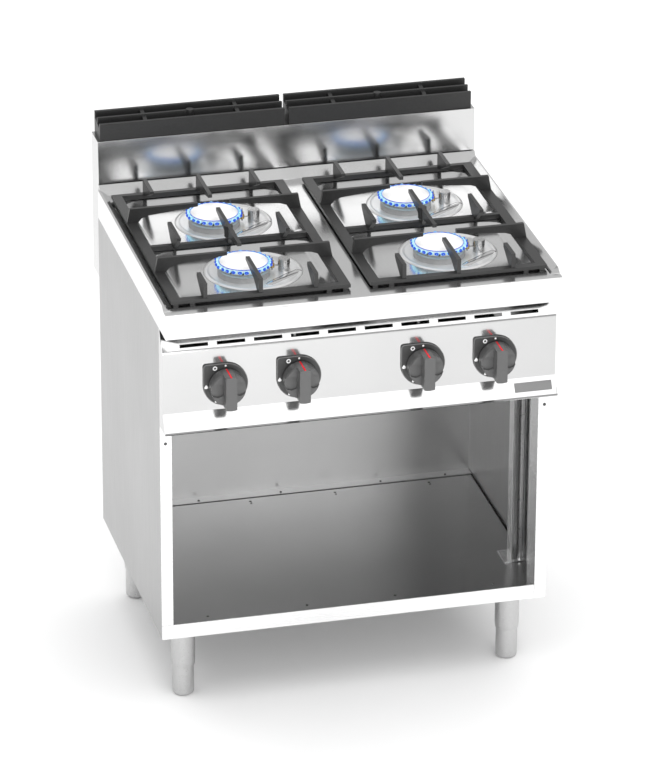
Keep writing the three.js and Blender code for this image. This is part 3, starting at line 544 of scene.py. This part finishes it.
def tongue(root, out, reach):
    """The loops of one flame, from its root outward and a little upward."""
    across = Vector((-out.y, out.x, 0))
    along = out * math.cos(FLAME_RISE) + Vector((0, 0, math.sin(FLAME_RISE)))
    up = along.cross(across)
    loops = []
    for t, half in FLAME_OUTLINE:
        middle = root + along * reach * t
        wide, high = across * half * MM, up * half * 0.7 * MM
        loops.append([middle + wide * math.cos(u) + high * math.sin(u) for u in arc(0, 324, FLAME_SIDES)])
    return loops


def flames(burner):
    """A ring of short flames under the rim of the cap, with a thin blue ring over their roots."""
    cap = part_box("burner_cap_" + burner)
    centre = (cap[0] + cap[1]) / 2
    rim = (cap[1].x - cap[0].x) / 2
    level = cap[1].z - FLAME_DROP
    shape = Shape()
    for i, a in enumerate(turns(TONGUES)):
        out = Vector((math.cos(a), math.sin(a), 0))
        root = Vector((centre.x, centre.y, level)) + out * (rim - 1.0 * MM)
        shape.loop_surface(tongue(root, out, FLAME_LENGTH * (0.9 + 0.1 * math.sin(i * 2.4))))
    tongue_faces = len(shape.faces)
    per_tongue = tongue_faces // TONGUES
    ring_level = level + BLUE_RING_RISE
    section = [(rim + 0.4 * MM * math.cos(t), ring_level + 0.8 * MM * math.sin(t)) for t in arc(0, 300, 6)]
    shape.lathe(centre.xy, section, 48, closed=True)
    obj = piece_from(
        "flames_" + burner, shape.points, shape.faces, flame_core, "burner_cap_" + burner
    )
    obj.data.materials.append(flame_edge)
    for face in obj.data.polygons:
        band = face.index % per_tongue // FLAME_SIDES
        if face.index >= tongue_faces or band in FLAME_TIP_BANDS:
            face.material_index = 1
    return obj


def pilot_nut(burner):
    """The brass gland nut round the thermocouple, between the burner and its pilot."""
    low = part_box("pilot_" + burner)[0]
    axis = (low.x + NUT_RADIUS * 0.87, middle_of("burner_cap_" + burner).y)
    bore, face, edge = NUT_RADIUS * 0.6, NUT_RADIUS * 0.92, NUT_RADIUS + 0.5 * MM
    profile = [(bore, 8.6), (face, 8.6), (edge, 9.3), (edge, 16.8), (face, 17.5), (bore, 17.5)]
    shape = Shape()
    shape.lathe(axis, [(r, WELL_FLOOR + z * MM) for r, z in profile], 6, closed=True)
    shape.lathe(axis, [(r * MM, WELL_FLOOR + z * MM) for r, z in COLLAR_PROFILE], 20, closed=True)
    return piece_from("pilot_nut_" + burner, shape.points, shape.faces, brass, "root")


for burner in BURNERS:
    pilot_nut(burner)
    pressed_dish(burner)
    pressed_rib(burner)
    flames(burner)


# ---------------------------------------------------------------- screws and sheet joints

SCREW_SIDES = 24
# Share of the radius outward and upward, from the foot of the head to the edge of its slot
SCREW_PROFILE = ((1.0, 0.0), (1.0, 0.18), (0.85, 0.42), (0.55, 0.55), (0.42, 0.56))


def screw(name, place, out, radius):
    """A domed screw head with a cross slot, its axis along out."""
    out = Vector(out)
    side = out.orthogonal().normalized()
    up = out.cross(side)
    spokes = [side * math.cos(a) + up * math.sin(a) for a in turns(SCREW_SIDES)]
    loops = [
        [place + out * radius * height + spoke * radius * reach for spoke in spokes]
        for reach, height in SCREW_PROFILE
    ]
    slot_reach = [0.40 if (i // 3) % 2 == 0 else 0.16 for i in range(SCREW_SIDES)]
    loops.append([
        place + out * radius * 0.15 + spoke * radius * reach for spoke, reach in zip(spokes, slot_reach)
    ])
    shape = Shape()
    shape.loop_surface(loops)
    return piece_from(name, shape.points, shape.faces, screw_steel, "root")


def seam(name, start, end, out, width):
    """The dark line of a gap between two sheets: a thin rounded bead on a face that looks along out."""
    start, end, out = Vector(start), Vector(end), Vector(out)
    across = (end - start).normalized().cross(out)
    loops = []
    for t, grow in ((0.0, 0.5), (0.004, 1.0), (0.5, 1.0), (0.996, 1.0), (1.0, 0.5)):
        middle = start.lerp(end, t)
        loops.append([
            middle + across * width / 2 * grow * math.cos(u) + out * 0.4 * MM * grow * math.sin(u)
            for u in arc(0, 180, 7)
        ])
    shape = Shape()
    shape.loop_surface(loops)
    return piece_from(name, shape.points, shape.faces, shadow_line, "root")


POST_SCREW_X = 388.5 * MM
POST_SCREW_Z = 596 * MM
FLANGE_SCREWS = (-340 * MM, -198 * MM, -20 * MM, 198 * MM, 340 * MM)
FLOOR_SCREWS = (-298 * MM, -92 * MM, 92 * MM, 298 * MM)
FLANGE_THICKNESS = 2.1 * MM
SEAM_LIFT = 0.1 * MM
UP = (0, 0, 1)

post_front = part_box("front_post_left")[0].y
for side, x in (("left", -POST_SCREW_X), ("right", POST_SCREW_X)):
    screw("post_screw_" + side, Vector((x, post_front + 0.1 * MM, POST_SCREW_Z)), (0, -1, 0), 3.4 * MM)

# Inside the cabinet: sheet joints, and the screws along the back flange and on the floor before it
cabin_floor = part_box("cabinet_floor")[1].z
right_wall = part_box("side_panel_right")[0].x
left_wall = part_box("side_panel_left")[1].x
flange_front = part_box("back_panel")[0].y
seam_z = cabin_floor + SEAM_LIFT
wall_seam_x = right_wall - 2 * MM
flange_seam_y = flange_front - 1.2 * MM
seam("floor_gap_right", (wall_seam_x, -0.10, seam_z), (wall_seam_x, flange_front, seam_z), UP, 4 * MM)
seam("flange_gap", (left_wall, flange_seam_y, seam_z), (right_wall, flange_seam_y, seam_z), UP, 2.4 * MM)
for i, x in enumerate(FLANGE_SCREWS):
    place = Vector((x, flange_front + 8 * MM, cabin_floor + FLANGE_THICKNESS))
    screw(f"flange_screw_{i + 1}", place, UP, 2.6 * MM)
for i, x in enumerate(FLOOR_SCREWS):
    screw(f"floor_screw_{i + 1}", Vector((x, flange_front - 26 * MM, cabin_floor)), UP, 2.2 * MM)


# ---------------------------------------------------------------- stage, light and camera

FLOOR_HALF = 30.0
FLOOR_Z = -0.5 * MM                # just under the feet
WORLD_STRENGTH = 0.62


def studio_floor():
    """A plain pale floor that runs past the edge of the view."""
    h = FLOOR_HALF
    mesh = bpy.data.meshes.new("studio_floor")
    mesh.from_pydata([(-h, -h, 0), (h, -h, 0), (h, h, 0), (-h, h, 0)], [], [(0, 1, 2, 3)])
    mesh.materials.append(surface("studio_white", 0.90, 0.92, (0.75, 0.85), (2, 2, 2), 0.0))
    obj = bpy.data.objects.new("studio_floor", mesh)
    bpy.context.scene.collection.objects.link(obj)
    obj.location.z = FLOOR_Z


def area_light(name, place, target, size, energy, mirrored=True):
    """A soft box. One that is not mirrored lights the floor without showing as a glare in the steel."""
    data = bpy.data.lights.new(name, "AREA")
    data.shape = "RECTANGLE"
    data.size, data.size_y = size
    data.energy = energy
    light = bpy.data.objects.new(name, data)
    light.location = place
    aim = Vector(target) - Vector(place)
    light.rotation_mode = "QUATERNION"
    light.rotation_quaternion = aim.to_track_quat("-Z", "Y")
    light.visible_camera = False
    light.visible_glossy = mirrored
    bpy.context.scene.collection.objects.link(light)


def studio_world(strength):
    """Even white light from all round."""
    world = bpy.data.worlds.new("studio")
    world.use_nodes = True
    back = world.node_tree.nodes["Background"]
    back.inputs["Color"].default_value = (1.0, 1.0, 1.0, 1.0)
    back.inputs["Strength"].default_value = strength
    bpy.context.scene.world = world


def camera():
    """The camera at the stated direction, roll and place."""
    data = bpy.data.cameras.new("camera")
    data.lens = CAMERA_LENS
    data.sensor_width = 36.0
    data.clip_end = 200.0
    a, e = VIEW_AZIMUTH, VIEW_ELEVATION
    back = Vector((math.sin(a) * math.cos(e), -math.cos(a) * math.cos(e), math.sin(e)))
    right = (-back).cross(Vector((0, 0, 1))).normalized()
    up = right.cross(-back)
    c, s = math.cos(VIEW_ROLL), math.sin(VIEW_ROLL)
    x_axis = right * c + up * s
    y_axis = up * c - right * s
    turn = Matrix((x_axis, y_axis, back)).transposed()
    obj = bpy.data.objects.new("camera", data)
    obj.matrix_world = Matrix.Translation(CAMERA_PLACE) @ turn.to_4x4()
    bpy.context.scene.collection.objects.link(obj)
    bpy.context.scene.camera = obj


studio_floor()
studio_world(WORLD_STRENGTH)
area_light("ceiling", (0, 0.8, 5.0), (0, 0.8, 0), (10.0, 10.0), 420, mirrored=False)
area_light("front_high", (0.6, -5.2, 3.6), (0, -0.3, 0.66), (6.0, 2.6), 75)
area_light("low_front", (-0.5, -3.6, 0.7), (0.0, 0.2, 0.35), (1.6, 1.0), 28)
camera()
bpy.context.scene.view_settings.view_transform = "Standard"
